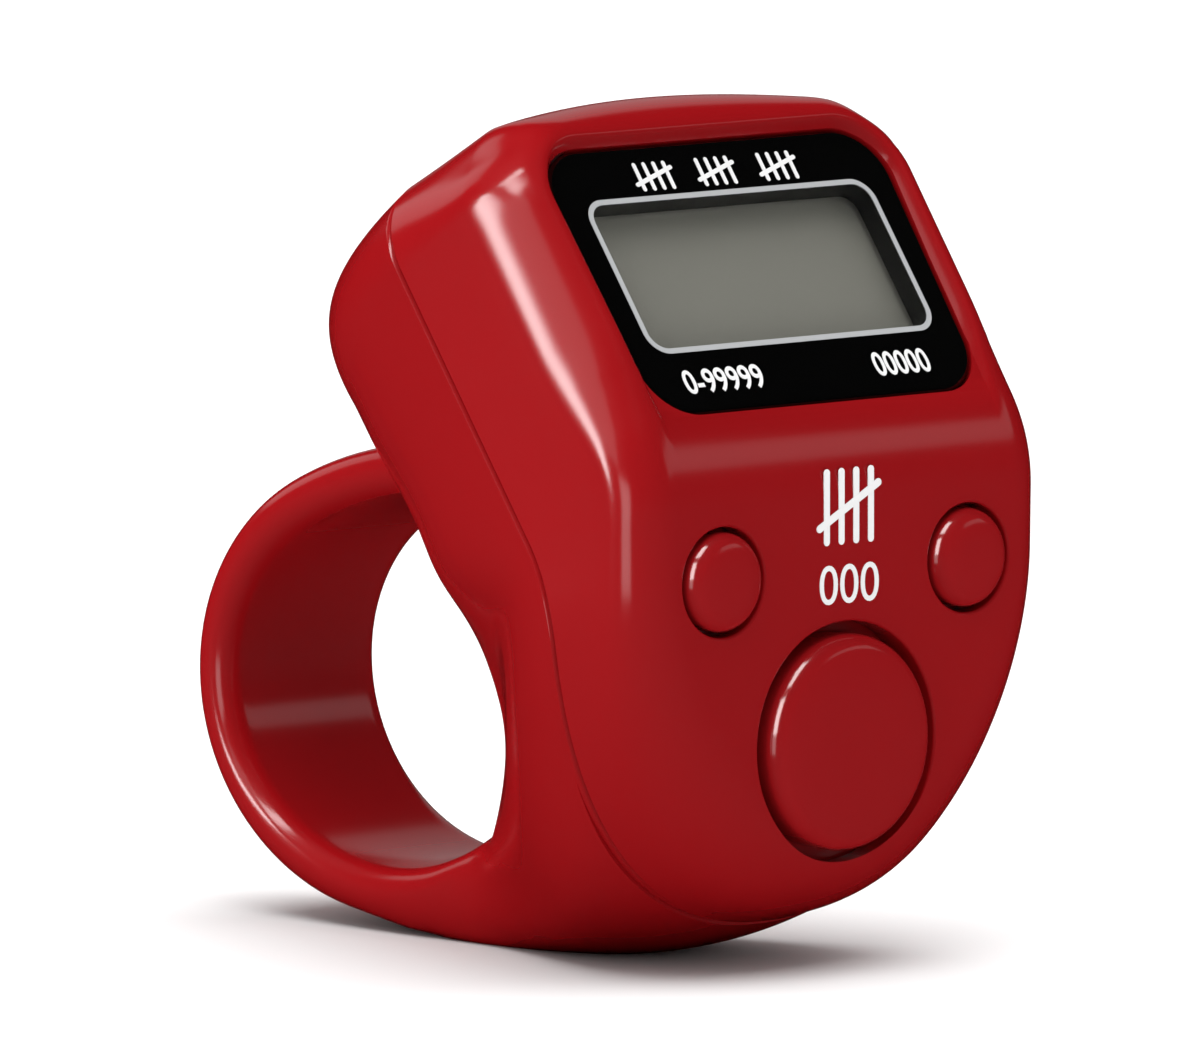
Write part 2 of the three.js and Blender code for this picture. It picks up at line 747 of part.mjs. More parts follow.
function buttons() {
  add("count_button", buttonSolid(countButton), redPlastic);
  add("mode_button", buttonSolid(modeButton), redPlastic);
  add("reset_button", buttonSolid(resetButton), redPlastic);
}

function power() {
  const cell = placed(rod(0, cellUp, cellRadius, cellDeep, cellDeep + cellThick), onUpper);
  add("battery_cell", cell, steel);
  const boardBack = upperBoardDeep + boardThick + gap;
  // A leaf flat against the cell, with a leg past the cell's rim to the board
  const leaf = (deep, rim) => {
    const top = cellUp + cellRadius + rim;
    const flat = box(-leafHalf, leafHalf, cellUp - 3, top, deep, deep + leafThick);
    const leg = box(-1, 1, top - leafThick, top, boardBack, deep + leafThick / 2);
    return placed(flat, onUpper).add(placed(leg, onUpper));
  };
  add("contact_minus", leaf(cellDeep - gap - leafThick, -0.6), steel);
  add("contact_plus", leaf(cellDeep + cellThick + gap, 1), steel);
}

function screws() {
  const headEnd = screwHeadDeep + gap + screwHeadThick;
  const bar = (halfX, halfUp) =>
    box(-halfX, halfX, -halfUp, halfUp, headEnd - screwSlotDeep, headEnd + 1);
  for (const [name, side] of [["left", -1], ["right", 1]]) {
    const turned = (radius, from, to, steps) =>
      placed(rod(side * screwX, screwUp, radius, from, to, steps), onUpper);
    const slot = (halfX, halfUp) =>
      placed(bar(halfX, halfUp).translate(side * screwX, screwUp, 0), onUpper);
    const screw = turned(screwRadius, screwTipDeep, screwHeadDeep + 1, 20)
      .add(turned(screwHeadRadius, screwHeadDeep + gap, headEnd, 24))
      .subtract(slot(screwSlotHalf, screwSlotWide / 2))
      .subtract(slot(screwSlotWide / 2, screwSlotHalf));
    add(`case_screw_${name}`, screw, steel);
  }
}

frontCase();
rearCase();
displayStack();
boards();
ribbon();
keypad();
buttons();
power();
screws();

// Stand the part on Z = 0 with its middle over the origin
const frontY = -countButton.proud;
const rearY = ringY + ringHalfY + bandHalfThick;
const counter = new THREE.Group();
counter.position.set(0, -(frontY + rearY) / 2, -floorZ);
for (const { name, solid, material } of pieces) {
  const mesh = new THREE.Mesh(geometryOf(solid), material);
  mesh.name = name;
  counter.add(mesh);
}

export default counter;
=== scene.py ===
import math

import bmesh
import bpy
import numpy as np
from mathutils import Matrix, Vector
from mathutils.bvhtree import BVHTree


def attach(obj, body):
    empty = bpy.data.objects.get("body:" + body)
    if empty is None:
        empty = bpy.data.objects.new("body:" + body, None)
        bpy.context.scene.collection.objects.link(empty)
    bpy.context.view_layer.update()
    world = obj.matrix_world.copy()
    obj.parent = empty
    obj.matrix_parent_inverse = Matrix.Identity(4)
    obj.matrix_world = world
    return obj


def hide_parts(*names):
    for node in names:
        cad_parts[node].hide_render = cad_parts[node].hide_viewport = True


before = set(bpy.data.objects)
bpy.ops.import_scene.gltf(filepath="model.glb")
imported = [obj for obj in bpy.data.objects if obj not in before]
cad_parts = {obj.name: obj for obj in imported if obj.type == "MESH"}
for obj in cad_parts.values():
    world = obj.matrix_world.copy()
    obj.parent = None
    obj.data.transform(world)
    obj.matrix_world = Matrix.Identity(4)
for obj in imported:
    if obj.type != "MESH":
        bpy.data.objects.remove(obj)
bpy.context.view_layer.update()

# A finger ring tally counter. Shapes are worked out in millimetres in the design frame, whose
# origin is where the two front facets would meet at the middle, and moved to the row frame.

# Case
TILT = math.radians(36)
SIN_TILT = math.sin(TILT)
COS_TILT = math.cos(TILT)
HALF_WIDTH = 14.85
TOP_UP = 23.1
TOP_ARC_RADIUS = 60
CORNER_RADIUS = 5.2
BOTTOM_START = -5
BOTTOM_DROP = 19.65
BOTTOM_POWER = 2.25
FRONT_BEND = 2.6
PARTING_Y = 6
PARTING_Z = -6.8
PARTING_BEND = 2.9
DRAFT = 0.45
CORNER_DRAFT = 0.6
FOOT_DRAFT_SHARE = 0.45
BUTTON_FACE_ROUNDING = 2.6
FOOT_ROUNDING = 5.2
WALL = 1.5
UPPER_WALL = 2.7
FLOOR_Z = -27
PARTING_GAP = 0.1
PARTING_CHAMFER = 0.05
RIM_ROUND = 0.45

# Window, lens and display, measured up the upper facet from the bend
WINDOW_LOW = 2.6
WINDOW_HIGH = 18.425
WINDOW_HALF_TOP = 11.83
WINDOW_HALF_LOW = 11.5
WINDOW_CORNER = 3
WINDOW_THICK = 1.2
BEAD_HEIGHT = 0.6
BEAD_WIDE = 0.55
WINDOW_ROUNDING = 3.3
LENS_GAP = 0.12
LENS_BEVEL = 0.18
FRAME_LOW = 6.225
FRAME_HIGH = 15.349
FRAME_HALF = 9.965
FRAME_LINE = 0.3
FRAME_CORNER = 1.3
LINE_PROUD = 0.02
LINE_SUNK = 0.05
PANE_GAP = 0.02
VIEW_LOW = 4.8
VIEW_HIGH = 16.6
VIEW_HALF = 10.9
VIEW_NEAR = 1
VIEW_FAR = 3.2
INK_SUNK = 0.02
INK_THICK = 0.05
CROSS_LIFT = 0.012

# Buttons on the lower facet: x, z, cap radius, well radius, how proud
COUNT_BUTTON = (0, -15, 5.5, 6.15, 1)
MODE_BUTTON = (-8.53, -6.26, 2.53, 2.8, 0.7)
RESET_BUTTON = (8.53, -6.26, 2.53, 2.8, 0.7)
FLANGE_THICK = 0.8
FLANGE_WIDE = 0.5
STEM_REACH = 3.2
STEM_SHARE = 0.4
GAP = 0.3
CAP_EDGE = 0.8
CAP_EDGE_SHARE = 0.25
CROWN_SHARE = 0.22
WELL_LIP = 0.16
WELL_DEEP = 4

# Rear shell and finger ring
BACK_DEEP = 20.5
BACK_WALL = 1.6
SEAT_WALL_Y = 17.6
SEAT_WALL_TOP = -7
ROOM_FLOOR_Z = -22.4
RING_Y = 29.36
RING_Z = -14.4
RING_HALF_Y = 12.9
RING_HALF_Z = 10.57
RING_TOP_Y = 23
RING_TOP_Z = -2.6
SOLE_Y = 32
BAND_HALF_WIDTH = 5.6
BAND_HALF_THICK = 1.3
SCREW_X = 8.2
SCREW_UP = 18.3
SCREW_START = 8.4
SCREW_END = 24
SCREW_HEAD_DEEP = 16.2
SCREW_RADIUS = 0.9
SCREW_HEAD_RADIUS = 1.7

# How the ring is blended into the case: the even faces' size, the rounds of easing, and the
# distances from the join and from the rear rim over which the true surfaces come back
EVEN_SIZE = 0.22
EASE_ROUNDS = 50
BLEND_NEAR = 0.3
BLEND_FAR = 2.2
RIM_FAR = 1.3

# The row frame stands the part on Z = 0 with its middle over the origin
SHIFT_Y = -(RING_Y + RING_HALF_Y + BAND_HALF_THICK - COUNT_BUTTON[4]) / 2
ROW = Matrix.Diagonal((0.001, 0.001, 0.001, 1)) @ Matrix.Translation((0, SHIFT_Y, -FLOOR_Z))

# How the photograph sees it: the camera's heading and height, its scale, and where the design
# origin lies in the image
VIEW_HEADING = math.radians(42.99)
VIEW_HEIGHT = math.radians(6.167)
PIXELS_PER_MM = 19.819
IMAGE_SIZE = (1200, 1055)
ORIGIN_PIXEL = (847.08, 446.65)
CAMERA_FAR = 1000
SENSOR = 36

# Stage, in metres: how far off the fills, the glossy strips and the cap glints stand
LIGHT_TARGET = (0, 0, 0.02)
FILL_FAR = 2.2
STRIP_FAR = 0.8
GLINT_FAR = 0.5
FLOOR_HALF = 4
FLOOR_ALBEDO = 0.8
SKY_STRENGTH = 0.59


def mix(a, b, share):
    return a + (b - a) * share


def smooth(value, low, high):
    share = np.clip((np.asarray(value, float) - low) / (high - low), 0, 1)
    return share * share * (3 - 2 * share)


# Case surfaces


def bent_line(corner_y, corner_z, tangent, along):
    """A line straight down below its corner and tilted back above it, with a round bend."""
    along = np.asarray(along, float)
    radius = tangent / math.tan(TILT / 2)
    turned = TILT * (np.clip(along, -tangent, tangent) + tangent) / (2 * tangent)
    below = along <= -tangent
    above = along >= tangent
    y = np.where(below, corner_y, corner_y + radius * (1 - np.cos(turned)))
    z = np.where(below, corner_z + along, corner_z - tangent + radius * np.sin(turned))
    y = np.where(above, corner_y + along * SIN_TILT, y)
    z = np.where(above, corner_z + along * COS_TILT, z)
    return y, z


def front_line(up):
    return bent_line(0, 0, FRONT_BEND, up)


def parting_line(up):
    corner_up = PARTING_Y * SIN_TILT + PARTING_Z * COS_TILT
    shift = mix(-PARTING_Z, -corner_up, smooth(up, -12, 6))
    return bent_line(PARTING_Y, PARTING_Z, PARTING_BEND, up + shift)


def case_depth(up):
    fy, fz = front_line(up)
    py, pz = parting_line(up)
    return np.hypot(py - fy, pz - fz)


def case_point(x, up, deep):
    """Points at x and up on the front, and deep behind the front face."""
    fy, fz = front_line(up)
    py, pz = parting_line(up)
    share = deep / np.hypot(py - fy, pz - fz)
    return np.stack([x, mix(fy, py, share), mix(fz, pz, share)], axis=-1)


def facet_point(x, up, deep):
    """A point in the upper facet's own frame."""
    return np.array([x, up * SIN_TILT + deep * COS_TILT, up * COS_TILT - deep * SIN_TILT])


def half_outline(top_steps, corner_steps, side_steps, bottom_steps):
    """Right half of the parting outline from top middle to bottom middle: x, up, outward normal
    and share of the length."""
    corner_x = HALF_WIDTH - CORNER_RADIUS
    top_turn = math.asin(corner_x / (TOP_ARC_RADIUS - CORNER_RADIUS))
    corner_up = TOP_UP - TOP_ARC_RADIUS + (TOP_ARC_RADIUS - CORNER_RADIUS) * math.cos(top_turn)
    turn = top_turn * np.arange(top_steps) / top_steps
    top = np.stack([
        TOP_ARC_RADIUS * np.sin(turn),
        TOP_UP - TOP_ARC_RADIUS + TOP_ARC_RADIUS * np.cos(turn),
        np.sin(turn),
        np.cos(turn),
    ])
    turn = mix(top_turn, math.pi / 2, np.arange(corner_steps) / corner_steps)
    corner = np.stack([
        corner_x + CORNER_RADIUS * np.sin(turn),
        corner_up + CORNER_RADIUS * np.cos(turn),
        np.sin(turn),
        np.cos(turn),
    ])
    share = np.arange(side_steps) / side_steps
    side = np.stack([
        np.full(side_steps, HALF_WIDTH),
        mix(corner_up, BOTTOM_START, share),
        np.ones(side_steps),
        np.zeros(side_steps),
    ])
    turn = math.pi / 2 * np.arange(bottom_steps + 1) / bottom_steps
    share_x = np.clip(np.cos(turn), 0, 1) ** (2 / BOTTOM_POWER)
    share_up = np.sin(turn) ** (2 / BOTTOM_POWER)
    out_x = share_x ** (BOTTOM_POWER - 1) / HALF_WIDTH
    out_up = -(share_up ** (BOTTOM_POWER - 1)) / BOTTOM_DROP
    size = np.hypot(out_x, out_up)
    bottom = np.stack([
        HALF_WIDTH * share_x,
        BOTTOM_START - BOTTOM_DROP * share_up,
        out_x / size,
        out_up / size,
    ])
    x, up, out_x, out_up = np.concatenate([top, corner, side, bottom], axis=1)
    x[-1] = 0
    out_x[-1] = 0
    step = np.hypot(np.diff(x), np.diff(up))
    length = np.concatenate([[0], np.cumsum(step)])
    return {"x": x, "up": up, "out_x": out_x, "out_up": out_up, "share": length / length[-1]}


def moved_in(outline, inset):
    return outline["x"] - inset * outline["out_x"], outline["up"] - inset * outline["out_up"]


def window_distance(x, up):
    middle = (WINDOW_LOW + WINDOW_HIGH) / 2
    half = mix(WINDOW_HALF_LOW, WINDOW_HALF_TOP, (up - WINDOW_LOW) / (WINDOW_HIGH - WINDOW_LOW))
    beside_x = np.abs(x) - (half - WINDOW_CORNER)
    beside_up = np.abs(up - middle) - ((WINDOW_HIGH - WINDOW_LOW) / 2 - WINDOW_CORNER)
    outside = np.hypot(np.maximum(beside_x, 0), np.maximum(beside_up, 0))
    return outside + np.minimum(np.maximum(beside_x, beside_up), 0) - WINDOW_CORNER


def window_inset(outline):
    """How far in from the parting outline the window's edge lies."""
    near = np.zeros_like(outline["x"])
    far = np.full_like(near, HALF_WIDTH)
    for _ in range(30):
        tried = (near + far) / 2
        outside = window_distance(*moved_in(outline, tried)) > 0
        near = np.where(outside, tried, near)
        far = np.where(outside, far, tried)
    low = outline["up"] < WINDOW_LOW + WINDOW_CORNER
    return np.where(low, outline["x"] - WINDOW_HALF_LOW, near)


def edge_shape(outline):
    """Where the edge rounding starts, at what depth and draft, where the crest lies and the flat
    face begins, how high the window bead stands, and how long the rounding holds to the side
    and to the face."""
    up = outline["up"]
    low = smooth(-up, 6, 22)
    bead = smooth(up, 0, 8)
    radius = mix(BUTTON_FACE_ROUNDING, FOOT_ROUNDING, low)
    inset = window_inset(outline)
    corner = 2 * outline["out_x"] * np.maximum(outline["out_up"], 0)
    start = (DRAFT + CORNER_DRAFT * corner**2) * mix(1, FOOT_DRAFT_SHARE, low)
    depth = mix(radius, WINDOW_ROUNDING, bead)
    return {
        "start": start,
        "slope": np.maximum(bead, low) * start / (case_depth(up) - depth),
        "side_hold": mix(0.55, 0.3, bead),
        "face_hold": mix(0.55, 0.5, bead),
        "crest": mix(DRAFT + radius, inset - BEAD_WIDE, bead),
        "flat": mix(DRAFT + radius + BEAD_WIDE, inset, bead),
        "depth": depth,
        "height": BEAD_HEIGHT * bead,
    }


def rounding_point(edge, t):
    """Inset and depth at a share of the edge rounding."""
    hold = edge["side_hold"] * (edge["depth"] + edge["height"])
    inset = [
        edge["start"],
        edge["start"] + edge["slope"] * hold,
        mix(edge["crest"], edge["start"], edge["face_hold"]),
        edge["crest"],
    ]
    deep = [edge["depth"], edge["depth"] - hold, -edge["height"], -edge["height"]]
    weights = [(1 - t) ** 3, 3 * t * (1 - t) ** 2, 3 * t**2 * (1 - t), t**3]
    return (
        sum(weight * place for weight, place in zip(weights, inset)),
        sum(weight * place for weight, place in zip(weights, deep)),
    )


def mirrored(half):
    """A closed ring from its right half, whose two end points lie on the middle plane."""
    left = half[-2:0:-1] * np.array([-1, 1, 1])
    return np.concatenate([half, left])


# Meshes


def loft(rings):
    """Points and faces of a body through mirrored rings, closed at both ends by strips that
    run straight across."""
    count = len(rings[0])
    points = np.concatenate(rings)
    faces = []
    for r in range(len(rings) - 1):
        base = r * count
        for i in range(count):
            a = base + i
            b = base + (i + 1) % count
            faces.append((a, b, b + count, a + count))
    for base, flip in ((0, False), ((len(rings) - 1) * count, True)):
        for i in range(count // 2):
            left = (count - i) % count
            next_left = count - i - 1
            corners = []
            for corner in (i, i + 1, next_left, left):
                if corner not in corners:
                    corners.append(corner)
            face = [base + corner for corner in corners]
            faces.append(tuple(face if flip else reversed(face)))
    return points, faces


def lathe(profile, steps, centre, basis):
    """A turned solid from [radius, height] points, whose ends lie on the axis."""
    turns = 2 * math.pi * np.arange(steps) / steps
    points = []
    rings = []
    for radius, height in profile:
        if radius == 0:
            rings.append([len(points)])
            points.append((0, 0, height))
            continue
        rings.append(list(range(len(points), len(points) + steps)))
        points.extend((radius * math.cos(t), radius * math.sin(t), height) for t in turns)
    faces = []
    for near, far in zip(rings, rings[1:]):
        for i in range(steps):
            j = (i + 1) % steps
            face = [near[i % len(near)], near[j % len(near)], far[j % len(far)], far[i % len(far)]]
            face = list(dict.fromkeys(face))
            faces.append(tuple(face))
    return (np.array(points, float) + np.array([centre[0], centre[1], 0])) @ basis, faces


def prism(outline, low, high, basis):
    """A plate from a closed outline of [across, up] points, between two depths."""
    count = len(outline)
    points = [(x, y, low) for x, y in outline] + [(x, y, high) for x, y in outline]
    faces = [tuple(range(count)), tuple(reversed(range(count, 2 * count)))]
    for i in range(count):
        j = (i + 1) % count
        faces.append((i, j, j + count, i + count))
    return np.array(points, float) @ basis, faces


# Rows of these turn across, up and deep into x, y and z
ON_UPPER = np.array([[1, 0, 0], [0, SIN_TILT, COS_TILT], [0, COS_TILT, -SIN_TILT]])
ON_LOWER = np.array([[1, 0, 0], [0, 0, 1], [0, 1, 0]])


def box_outline(half_x, low, high):
    return [(-half_x, low), (half_x, low), (half_x, high), (-half_x, high)]


def made(name, shape):
    """A mesh object with its faces turned out."""
    points, faces = shape
    mesh = bpy.data.meshes.new(name)
    mesh.from_pydata([tuple(p) for p in points], [], faces)
    work = bmesh.new()
    work.from_mesh(mesh)
    bmesh.ops.recalc_face_normals(work, faces=work.faces)
    work.to_mesh(mesh)
    work.free()
    piece = bpy.data.objects.new(name, mesh)
    bpy.context.scene.collection.objects.link(piece)
    return piece


def applied(piece):
    """The piece with its modifiers made real."""
    bpy.context.view_layer.update()
    ready = piece.evaluated_get(bpy.context.evaluated_depsgraph_get())
    mesh = bpy.data.meshes.new_from_object(ready)
    piece.modifiers.clear()
    piece.data = mesh
    return piece


def joined(piece, how, tools):
    """Cuts, joins or keeps the shared part of a piece and its tools, which go away."""
    for tool in tools:
        step = piece.modifiers.new(how, "BOOLEAN")
        step.operation = how
        step.solver = "EXACT"
        step.object = tool
    applied(piece)
    for tool in tools:
        bpy.data.objects.remove(tool)
    return piece


def finished(piece, body, material, nodes=(), sharp=25):
    """Moves a piece to the row frame, shades it and gives it its body, slot and material."""
    piece.data.transform(ROW)
    piece.data.materials.clear()
    piece.data.materials.append(material)
    piece.data.polygons.foreach_set("material_index", [0] * len(piece.data.polygons))
    piece.data.shade_smooth()
    piece.data.set_sharp_from_angle(angle=math.radians(sharp))
    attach(piece, body)
    if nodes:
        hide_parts(*nodes)
    return piece


# Materials


def principled(name):
    material = bpy.data.materials.new(name)
    material.use_nodes = True
    shader = material.node_tree.nodes["Principled BSDF"]
    return material, material.node_tree, shader


def noise(tree, scale, detail=2.0):
    where = tree.nodes.new("ShaderNodeTexCoord")
    texture = tree.nodes.new("ShaderNodeTexNoise")
    texture.inputs["Scale"].default_value = scale
    texture.inputs["Detail"].default_value = detail
    tree.links.new(where.outputs["Object"], texture.inputs["Vector"])
    return texture.outputs["Fac"]


def ramp(tree, value, low, high, ends=(0.3, 0.7)):
    scale = tree.nodes.new("ShaderNodeMapRange")
    scale.inputs["From Min"].default_value = ends[0]
    scale.inputs["From Max"].default_value = ends[1]
    scale.inputs["To Min"].default_value = low
    scale.inputs["To Max"].default_value = high
    tree.links.new(value, scale.inputs["Value"])
    return scale.outputs["Result"]


def tinted(tree, value, first, second):
    colour = tree.nodes.new("ShaderNodeMix")
    colour.data_type = "RGBA"
    colour.inputs["A"].default_value = (*first, 1)
    colour.inputs["B"].default_value = (*second, 1)
    tree.links.new(value, colour.inputs["Factor"])
    return colour.outputs["Result"]


def bumped(tree, shader, value, strength, distance):
    bump = tree.nodes.new("ShaderNodeBump")
    bump.inputs["Strength"].default_value = strength
    bump.inputs["Distance"].default_value = distance
    tree.links.new(value, bump.inputs["Height"])
    tree.links.new(bump.outputs["Normal"], shader.inputs["Normal"])


def plastic(name, first, second, rough, wave=0.15, grain=900):
    """Moulded plastic: a faint drift of colour, slightly uneven gloss and a soft moulded wave."""
    material, tree, shader = principled(name)
    drift = noise(tree, 90)
    tree.links.new(tinted(tree, drift, first, second), shader.inputs["Base Color"])
    uneven = ramp(tree, noise(tree, grain, 4), rough * 0.97, rough * 1.03)
    tree.links.new(uneven, shader.inputs["Roughness"])
    bumped(tree, shader, noise(tree, grain / 2), wave, 0.00001)
    return material


RED = plastic("red_abs", (0.275, 0.0040, 0.0060), (0.262, 0.0035, 0.0055), 0.17, 0.03)
RED_CAP = plastic("red_abs_caps", (0.275, 0.0065, 0.0085), (0.262, 0.0055, 0.0075), 0.14, 0.03)
LENS_BLACK = plastic("lens_black", (0.001, 0.001, 0.001), (0.002, 0.002, 0.002), 0.06, 0.02)
SILVER_INK = plastic("silver_ink", (0.46, 0.47, 0.48), (0.40, 0.41, 0.42), 0.4, 0.1, 3000)
WHITE_INK = plastic("white_ink", (0.88, 0.88, 0.88), (0.8, 0.8, 0.8), 0.45, 0.1, 3000)
DISPLAY = plastic("display_cell", (0.222, 0.220, 0.190), (0.217, 0.215, 0.186), 0.3, 0.01)
WHITE_PLASTIC = plastic("white_moulding", (0.78, 0.77, 0.73), (0.72, 0.71, 0.67), 0.45)
RUBBER = plastic("silicone_rubber", (0.27, 0.28, 0.29), (0.22, 0.23, 0.24), 0.75, 0.4)
BOARD = plastic("solder_mask", (0.02, 0.11, 0.045), (0.015, 0.085, 0.035), 0.4, 0.2, 2000)
EPOXY = plastic("black_epoxy", (0.012, 0.012, 0.012), (0.02, 0.02, 0.02), 0.35)
RIBBON = plastic("polyimide", (0.45, 0.18, 0.03), (0.38, 0.14, 0.02), 0.35, 0.1)


def brushed_steel():
    material, tree, shader = principled("nickel_steel")
    shader.inputs["Metallic"].default_value = 1
    drift = noise(tree, 300)
    tree.links.new(
        tinted(tree, drift, (0.66, 0.65, 0.62), (0.52, 0.52, 0.51)), shader.inputs["Base Color"]
    )
    tree.links.new(ramp(tree, noise(tree, 2500, 6), 0.22, 0.4), shader.inputs["Roughness"])
    bumped(tree, shader, noise(tree, 4000), 0.15, 0.00001)
    return material


def clear_pane():
    """Clear acrylic over the display: it shows only its gloss."""
    material, tree, shader = principled("clear_acrylic")
    shader.inputs["Base Color"].default_value = (0.02, 0.02, 0.02, 1)
    shader.inputs["Alpha"].default_value = 0.04
    tree.links.new(ramp(tree, noise(tree, 800), 0.03, 0.06), shader.inputs["Roughness"])
    return material


STEEL = brushed_steel()
CLEAR = clear_pane()


# Front shell

FINE = half_outline(36, 26, 56, 84)


def front_shell():
    outline = FINE
    edge = edge_shape(outline)
    depth = case_depth(outline["up"])

    def ring(inset, deep):
        return mirrored(case_point(*moved_in(outline, inset), deep))

    room_face = mix(WALL, UPPER_WALL, smooth(outline["up"], -2, 2))
    seam = depth - PARTING_GAP
    rings = [
        ring(edge["crest"], room_face),
        ring(WALL + 0.4, np.minimum(edge["depth"] + 1, depth - 1)),
        ring(WALL, seam),
        ring(1.2 * PARTING_CHAMFER, seam),
        ring(0.0, seam - PARTING_CHAMFER),
    ]
    side_steps = 5
    for i in range(1, side_steps):
        share = i / side_steps
        rings.append(ring(edge["start"] * share, mix(seam - PARTING_CHAMFER, edge["depth"], share)))
    round_steps = 22
    for i in range(round_steps + 1):
        rings.append(ring(*rounding_point(edge, i / round_steps)))
    bead_steps = 6
    for i in range(1, bead_steps + 1):
        share = i / bead_steps
        fall = math.cos(math.pi / 2 * share)
        rings.append(ring(mix(edge["crest"], edge["flat"], share), -edge["height"] * fall))
    shell = made("front_case_shell", loft(rings))
    tools = [made("recess", prism(window_outline(0), -2, WINDOW_THICK + GAP, ON_UPPER))]
    view = box_outline(VIEW_HALF, VIEW_LOW, VIEW_HIGH)
    tools.append(made("view", prism(view, VIEW_NEAR, VIEW_FAR, ON_UPPER)))
    for x, z, _, well, _ in (COUNT_BUTTON, MODE_BUTTON, RESET_BUTTON):
        tools.append(made("well", lathe(well_profile(well), 96, (x, z), ON_LOWER)))
    joined(shell, "DIFFERENCE", tools)
    return finished(shell, "housing", RED, ["front_case"])


def well_profile(radius):
    """A button well: a rounded mouth, a straight bore, and a pocket for the flange."""
    lip = WELL_LIP
    steps = 6
    mouth = radius + 1.5 * lip
    profile = [(0, -2), (mouth, -2), (mouth, -0.4 * lip)]
    for i in range(steps + 1):
        turn = math.pi / 2 * (0.18 + 0.82 * i / steps)
        profile.append((radius + lip * (1 - math.sin(turn)), lip * (1 - math.cos(turn))))
    pocket = radius + FLANGE_WIDE + GAP
    profile += [(radius, WALL), (pocket, WALL), (pocket, WELL_DEEP), (0, WELL_DEEP)]
    return profile


def window_outline(grow, steps=16):
    points = []
    low = WINDOW_LOW + WINDOW_CORNER
    high = WINDOW_HIGH - WINDOW_CORNER
    corners = (
        (WINDOW_HALF_TOP, high, 0),
        (-WINDOW_HALF_TOP, high, math.pi / 2),
        (-WINDOW_HALF_LOW, low, math.pi),
        (WINDOW_HALF_LOW, low, 1.5 * math.pi),
    )
    for x, up, start in corners:
        centre = x - math.copysign(WINDOW_CORNER, x)
        for i in range(steps + 1):
            turn = start + math.pi / 2 * i / steps
            radius = WINDOW_CORNER + grow
            points.append((centre + radius * math.cos(turn), up + radius * math.sin(turn)))
    return points


def round_box(half_x, low, high, radius, steps=10):
    points = []
    corners = (
        (half_x, high, 0),
        (-half_x, high, math.pi / 2),
        (-half_x, low, math.pi),
        (half_x, low, 1.5 * math.pi),
    )
    for x, up, start in corners:
        centre_x = x - math.copysign(radius, x)
        centre_up = up - radius if up == high else up + radius
        for i in range(steps + 1):
            turn = start + math.pi / 2 * i / steps
            points.append((centre_x + radius * math.cos(turn), centre_up + radius * math.sin(turn)))
    return points


# Rear shell with the finger ring


def smooth_curve(points, count):
    """A closed curve through the points, with even chord-length knots, as in the CAD."""
    points = np.array(points, float)
    total = len(points)
    weight = np.array(
        [max(np.sum((points[(i + 1) % total] - points[i]) ** 2), 1e-8) ** 0.25 for i in range(total)]
    )

    def at(t):
        place = (t % 1) * total
        i = int(place) % total
        share = place - int(place)
        p0, p1, p2, p3 = (points[(i + k) % total] for k in (-1, 0, 1, 2))
        d0, d1, d2 = weight[(i - 1) % total], weight[i], weight[(i + 1) % total]
        t1 = ((p1 - p0) / d0 - (p2 - p0) / (d0 + d1) + (p2 - p1) / d1) * d1
        t2 = ((p2 - p1) / d1 - (p3 - p1) / (d1 + d2) + (p3 - p2) / d2) * d1
        a = 2 * p1 - 2 * p2 + t1 + t2
        b = -3 * p1 + 3 * p2 - 2 * t1 - t2
        return a * share**3 + b * share**2 + t1 * share + p1

    samples = np.array([at(i / 2000) for i in range(2001)])
    length = np.concatenate([[0], np.cumsum(np.linalg.norm(np.diff(samples, axis=0), axis=1))])
    wanted = np.asarray(count) * length[-1]
    return np.stack([np.interp(wanted, length, samples[:, k]) for k in range(3)], axis=-1)


def rear_edge(share):
    """Rear edge of the sides at shares of the half outline."""
    half = [
        facet_point(0, 20.4, BACK_DEEP),
        facet_point(5.8, 20.2, BACK_DEEP),
        facet_point(7.6, 18.6, BACK_DEEP),
        facet_point(8, 12.8, BACK_DEEP),
        facet_point(7.8, 8.4, BACK_DEEP),
        np.array([8, 20.5, -8.2]),
        np.array([6.9, 19.45, -12.2]),
        np.array([6, 19.1, -16.4]),
        np.array([BAND_HALF_WIDTH, 20.4, -20.8]),
        np.array([BAND_HALF_WIDTH - 0.9, 25, -26.7]),
        np.array([0, 28, -27.1]),
    ]
    return smooth_curve(mirrored(np.array(half)), share / 2)


